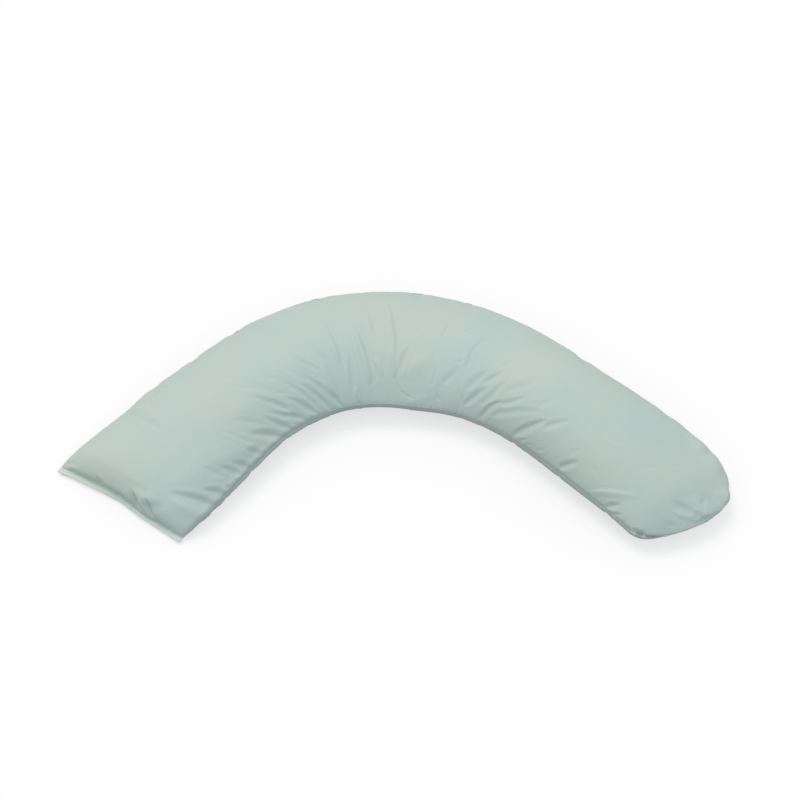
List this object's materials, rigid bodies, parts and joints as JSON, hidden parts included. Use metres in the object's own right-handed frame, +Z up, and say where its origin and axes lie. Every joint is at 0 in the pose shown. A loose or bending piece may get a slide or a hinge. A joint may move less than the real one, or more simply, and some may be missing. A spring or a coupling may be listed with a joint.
{
  "type": "curved positioning cushion",
  "caption": "Long half-moon positioning cushion in pale mint-grey coated cloth, softly filled, gathered along its inner bend, with a flat hemmed end and a turned end.",
  "frame": {"origin": "On the floor, under the middle of the cushion's box.", "axes": "+X runs from the hemmed end to the turned end, +Y out of the back of the bend, +Z up. The hollow of the bend faces -Y."},
  "size_m": [1.5958, 0.6956, 0.148],
  "materials": {
    "cover_cloth": "pale mint-grey coated polyester cloth with a soft low sheen, creased along its inner bend"
  },
  "bodies": {
    "root": {"cushion": "cover_cloth"}
  },
  "joints": []
}
